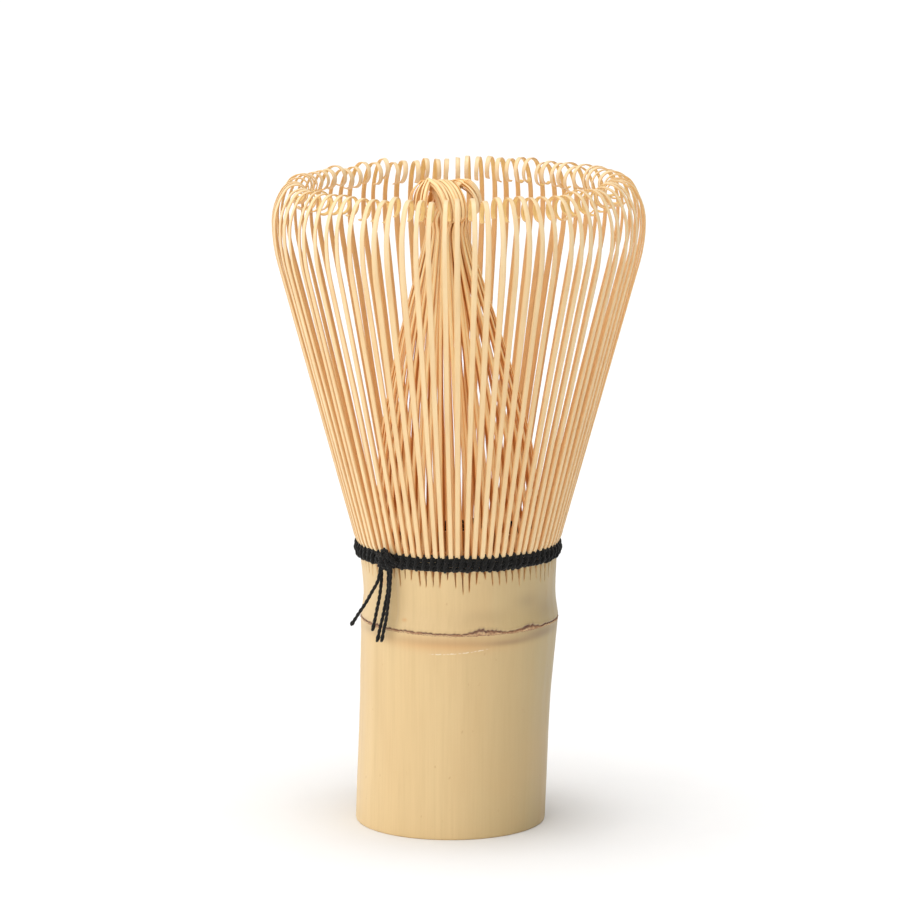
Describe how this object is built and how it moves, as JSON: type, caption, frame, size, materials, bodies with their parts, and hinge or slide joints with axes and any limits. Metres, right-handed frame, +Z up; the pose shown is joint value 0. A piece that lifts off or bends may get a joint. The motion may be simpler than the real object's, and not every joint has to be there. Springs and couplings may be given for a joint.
{
  "type": "bamboo tea whisk",
  "caption": "Hand whisk carved from one bamboo culm: open tubular handle with a node, a flaring crown of springy curled tines, an inner cone with a topknot, and black thread lacing.",
  "frame": {"origin": "where the crown's axis meets the plane that the foot rests on, which is the middle of the rim seen from above", "axes": "+Z up along the crown's axis, -Y towards the side with the knot at its left, +X to the right of that side"},
  "size_m": [0.0628, 0.0628, 0.1099],
  "materials": {
    "bamboo_culm": "satin split-proof skin with fine lengthwise grain",
    "bamboo_node": "satin skin with a scarred ring",
    "bamboo_outer_tine": "satin shaved bamboo",
    "bamboo_inner_tine": "satin shaved bamboo",
    "cotton_thread": "matte twisted cotton"
  },
  "bodies": {
    "handle": {"inner_tines_01": "bamboo_inner_tine", "inner_tines_02": "bamboo_inner_tine", "inner_tines_03": "bamboo_inner_tine", "inner_tines_04": "bamboo_inner_tine", "inner_tines_05": "bamboo_inner_tine", "inner_tines_06": "bamboo_inner_tine", "inner_tines_07": "bamboo_inner_tine", "inner_tines_08": "bamboo_inner_tine", "inner_tines_09": "bamboo_inner_tine", "inner_tines_10": "bamboo_inner_tine", "inner_tines_11": "bamboo_inner_tine", "inner_tines_12": "bamboo_inner_tine", "inner_tines_13": "bamboo_inner_tine", "inner_tines_14": "bamboo_inner_tine", "inner_tines_15": "bamboo_inner_tine", "inner_tines_16": "bamboo_inner_tine", "lower_culm": "bamboo_culm", "node_diaphragm": "bamboo_node", "node_ridge": "bamboo_node", "thread_knot": "cotton_thread", "thread_knot_loop": "cotton_thread", "thread_row_1": "cotton_thread", "thread_row_2": "cotton_thread", "thread_row_3": "cotton_thread", "thread_tail_1": "cotton_thread", "thread_tail_2": "cotton_thread", "thread_tail_3": "cotton_thread", "thread_tail_4": "cotton_thread", "upper_culm": "bamboo_culm"},
    "tine_group_01": {"outer_tines_01": "bamboo_outer_tine"},
    "tine_group_02": {"outer_tines_02": "bamboo_outer_tine"},
    "tine_group_03": {"outer_tines_03": "bamboo_outer_tine"},
    "tine_group_04": {"outer_tines_04": "bamboo_outer_tine"},
    "tine_group_05": {"outer_tines_05": "bamboo_outer_tine"},
    "tine_group_06": {"outer_tines_06": "bamboo_outer_tine"},
    "tine_group_07": {"outer_tines_07": "bamboo_outer_tine"},
    "tine_group_08": {"outer_tines_08": "bamboo_outer_tine"},
    "tine_group_09": {"outer_tines_09": "bamboo_outer_tine"},
    "tine_group_10": {"outer_tines_10": "bamboo_outer_tine"},
    "tine_group_11": {"outer_tines_11": "bamboo_outer_tine"},
    "tine_group_12": {"outer_tines_12": "bamboo_outer_tine"},
    "tine_group_13": {"outer_tines_13": "bamboo_outer_tine"},
    "tine_group_14": {"outer_tines_14": "bamboo_outer_tine"},
    "tine_group_15": {"outer_tines_15": "bamboo_outer_tine"},
    "tine_group_16": {"outer_tines_16": "bamboo_outer_tine"}
  },
  "joints": [
    {"name": "splay_01", "type": "hinge", "parent": "handle", "child": "tine_group_01", "pos_m": [0.01709, 0.00271, 0.0492], "axis": [-0.1564, 0.9877, 0], "range_deg": [-1.5, 6], "stiffness_Nm_per_rad": 0.025},
    {"name": "splay_02", "type": "hinge", "parent": "handle", "child": "tine_group_02", "pos_m": [0.01475, 0.00904, 0.0492], "axis": [-0.5225, 0.8526, 0], "range_deg": [-1.5, 6], "stiffness_Nm_per_rad": 0.025},
    {"name": "splay_03", "type": "hinge", "parent": "handle", "child": "tine_group_03", "pos_m": [0.01017, 0.014, 0.0492], "axis": [-0.809, 0.5878, 0], "range_deg": [-1.5, 6], "stiffness_Nm_per_rad": 0.025},
    {"name": "splay_04", "type": "hinge", "parent": "handle", "child": "tine_group_04", "pos_m": [0.00404, 0.01682, 0.0492], "axis": [-0.9724, 0.2334, 0], "range_deg": [-1.5, 6], "stiffness_Nm_per_rad": 0.025},
    {"name": "splay_05", "type": "hinge", "parent": "handle", "child": "tine_group_05", "pos_m": [-0.00271, 0.01709, 0.0492], "axis": [-0.9877, -0.1564, 0], "range_deg": [-1.5, 6], "stiffness_Nm_per_rad": 0.025},
    {"name": "splay_06", "type": "hinge", "parent": "handle", "child": "tine_group_06", "pos_m": [-0.00904, 0.01475, 0.0492], "axis": [-0.8526, -0.5225, 0], "range_deg": [-1.5, 6], "stiffness_Nm_per_rad": 0.025},
    {"name": "splay_07", "type": "hinge", "parent": "handle", "child": "tine_group_07", "pos_m": [-0.014, 0.01017, 0.0492], "axis": [-0.5878, -0.809, 0], "range_deg": [-1.5, 6], "stiffness_Nm_per_rad": 0.025},
    {"name": "splay_08", "type": "hinge", "parent": "handle", "child": "tine_group_08", "pos_m": [-0.01682, 0.00404, 0.0492], "axis": [-0.2334, -0.9724, 0], "range_deg": [-1.5, 6], "stiffness_Nm_per_rad": 0.025},
    {"name": "splay_09", "type": "hinge", "parent": "handle", "child": "tine_group_09", "pos_m": [-0.01709, -0.00271, 0.0492], "axis": [0.1564, -0.9877, 0], "range_deg": [-1.5, 6], "stiffness_Nm_per_rad": 0.025},
    {"name": "splay_10", "type": "hinge", "parent": "handle", "child": "tine_group_10", "pos_m": [-0.01475, -0.00904, 0.0492], "axis": [0.5225, -0.8526, 0], "range_deg": [-1.5, 6], "stiffness_Nm_per_rad": 0.025},
    {"name": "splay_11", "type": "hinge", "parent": "handle", "child": "tine_group_11", "pos_m": [-0.01017, -0.014, 0.0492], "axis": [0.809, -0.5878, 0], "range_deg": [-1.5, 6], "stiffness_Nm_per_rad": 0.025},
    {"name": "splay_12", "type": "hinge", "parent": "handle", "child": "tine_group_12", "pos_m": [-0.00404, -0.01682, 0.0492], "axis": [0.9724, -0.2334, 0], "range_deg": [-1.5, 6], "stiffness_Nm_per_rad": 0.025},
    {"name": "splay_13", "type": "hinge", "parent": "handle", "child": "tine_group_13", "pos_m": [0.00271, -0.01709, 0.0492], "axis": [0.9877, 0.1564, 0], "range_deg": [-1.5, 6], "stiffness_Nm_per_rad": 0.025},
    {"name": "splay_14", "type": "hinge", "parent": "handle", "child": "tine_group_14", "pos_m": [0.00904, -0.01475, 0.0492], "axis": [0.8526, 0.5225, 0], "range_deg": [-1.5, 6], "stiffness_Nm_per_rad": 0.025},
    {"name": "splay_15", "type": "hinge", "parent": "handle", "child": "tine_group_15", "pos_m": [0.014, -0.01017, 0.0492], "axis": [0.5878, 0.809, 0], "range_deg": [-1.5, 6], "stiffness_Nm_per_rad": 0.025},
    {"name": "splay_16", "type": "hinge", "parent": "handle", "child": "tine_group_16", "pos_m": [0.01682, -0.00404, 0.0492], "axis": [0.2334, 0.9724, 0], "range_deg": [-1.5, 6], "stiffness_Nm_per_rad": 0.025}
  ]
}
